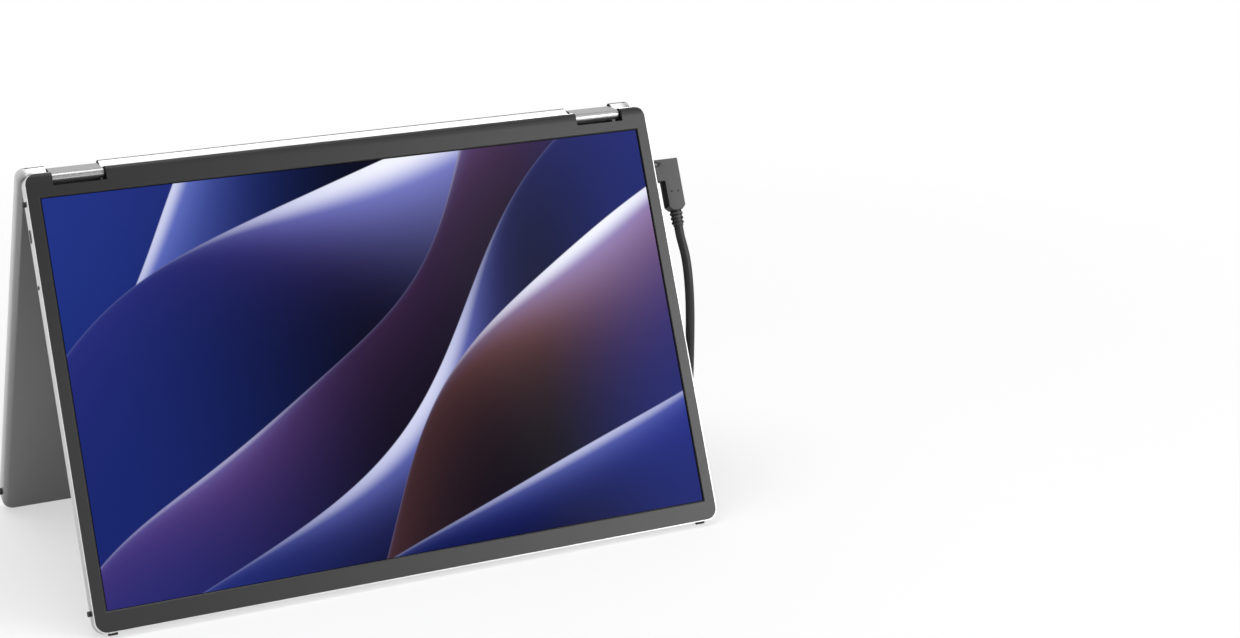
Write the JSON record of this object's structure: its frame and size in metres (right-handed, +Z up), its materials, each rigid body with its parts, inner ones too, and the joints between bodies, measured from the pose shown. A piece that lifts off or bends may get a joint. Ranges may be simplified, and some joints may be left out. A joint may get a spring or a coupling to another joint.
{
  "type": "dual-screen portable monitor",
  "caption": "Folding portable monitor: two thin screen halves on a geared full-turn hinge, standing as a tent, with an angled data cable plugged into one side.",
  "frame": {"origin": "on the floor below the middle of the object's box, measured without the cable and its plugs", "axes": "+X along the hinge to the viewer's right, +Y from the front screen to the rear screen, +Z up"},
  "size_m": [0.3298, 0.2713, 0.1947],
  "materials": {
    "anodised_cover": "fine satin, bead-blasted and anodised silver",
    "bezel": "fine matte, dark grey",
    "display": null,
    "foam": "matte black foam",
    "panel_plate": "plain stamped sheet",
    "hinge_steel": "ground steel",
    "screws": "zinc plated",
    "rubber": "matte black rubber",
    "circuit_board": "satin green solder mask",
    "flat_flex": "satin amber film",
    "coax_sleeve": "matte black sleeve",
    "tinned_sheet": "bright tinned sheet",
    "connector_metal": "bright nickel plate",
    "keys": "satin silver",
    "hinge_caps": "brushed satin silver",
    "cord_jacket": "satin black jacket",
    "tie_strap": "black hook-and-loop strap",
    "plug_plastic": "fine matte grey overmould"
  },
  "bodies": {
    "front_half": {"front_cover": "anodised_cover", "front_bezel": "bezel", "front_panel": "display", "front_gasket": "foam", "front_plate": "panel_plate", "front_bracket_left": "hinge_steel", "front_bracket_right": "hinge_steel", "front_shaft_left": "hinge_steel", "front_shaft_right": "hinge_steel", "front_screws": "screws", "front_edge_feet": "rubber", "front_side_feet": "rubber", "front_driver_strip": "circuit_board", "front_panel_flexes": "flat_flex", "front_display_cable": "flat_flex", "front_hinge_lead": "coax_sleeve", "main_board": "circuit_board", "board_shield": "tinned_sheet", "usb_c_socket": "connector_metal", "control_board": "circuit_board"},
    "hinge_link": {"hinge_cap_left": "hinge_caps", "hinge_cap_right": "hinge_caps", "link_plates_left": "hinge_steel", "link_plates_right": "hinge_steel", "friction_clip_left": "hinge_steel", "friction_clip_right": "hinge_steel", "hinge_cable": "coax_sleeve"},
    "rear_half": {"rear_cover": "anodised_cover", "rear_bezel": "bezel", "rear_panel": "display", "rear_gasket": "foam", "rear_plate": "panel_plate", "rear_bracket_left": "hinge_steel", "rear_bracket_right": "hinge_steel", "rear_shaft_left": "hinge_steel", "rear_shaft_right": "hinge_steel", "rear_screws": "screws", "rear_edge_feet": "rubber", "rear_side_feet": "rubber", "rear_driver_strip": "circuit_board", "rear_panel_flexes": "flat_flex", "rear_display_cable": "flat_flex", "rear_hinge_lead": "coax_sleeve", "bridge_board": "circuit_board"},
    "front_idlers": {"front_idler_left": "hinge_steel", "front_idler_right": "hinge_steel"},
    "rear_idlers": {"rear_idler_left": "hinge_steel", "rear_idler_right": "hinge_steel"},
    "power_button": {"power_button": "keys"},
    "rocker_key": {"rocker_key": "keys"},
    "cable": {"angled_plug": "plug_plastic", "angled_plug_nose": "connector_metal", "angled_plug_relief": "plug_plastic", "cord": "cord_jacket", "cord_coil": "cord_jacket", "cord_tie": "tie_strap", "far_plug": "plug_plastic", "far_plug_nose": "connector_metal", "far_plug_relief": "plug_plastic"}
  },
  "joints": [
    {"name": "front_hinge", "type": "hinge", "parent": "front_half", "child": "hinge_link", "pos_m": [0, -0.00445, 0.19152], "axis": [1, 0, 0], "range_deg": [-23.5, 156.5]},
    {"name": "rear_hinge", "type": "hinge", "parent": "hinge_link", "child": "rear_half", "pos_m": [0, 0.00445, 0.19152], "axis": [1, 0, 0], "range_deg": [-23.5, 156.5]},
    {"name": "front_idler_spin", "type": "hinge", "parent": "hinge_link", "child": "front_idlers", "pos_m": [0, -0.00148, 0.19152], "axis": [1, 0, 0], "range_deg": [-23.5, 156.5]},
    {"name": "rear_idler_spin", "type": "hinge", "parent": "hinge_link", "child": "rear_idlers", "pos_m": [0, 0.00148, 0.19152], "axis": [1, 0, 0], "range_deg": [-156.5, 23.5]},
    {"name": "power_press", "type": "slide", "parent": "front_half", "child": "power_button", "axis": [1, 0, 0], "range_m": [0, 0.00035], "stiffness_N_per_m": 3000, "springref_m": -0.0001},
    {"name": "rocker_tilt", "type": "hinge", "parent": "front_half", "child": "rocker_key", "pos_m": [-0.15483, -0.0147, 0.16795], "axis": [0, -0.9171, 0.3987], "range_deg": [-4, 4], "stiffness_Nm_per_rad": 0.06},
    {"name": "plug_pull", "type": "slide", "parent": "front_half", "child": "cable", "axis": [1, 0, 0], "range_m": [0, 0.008]}
  ],
  "couplings": [
    {"joint": "rear_hinge", "follows": "front_hinge", "ratio": 1},
    {"joint": "front_idler_spin", "follows": "front_hinge", "ratio": 1},
    {"joint": "rear_idler_spin", "follows": "front_hinge", "ratio": -1}
  ]
}
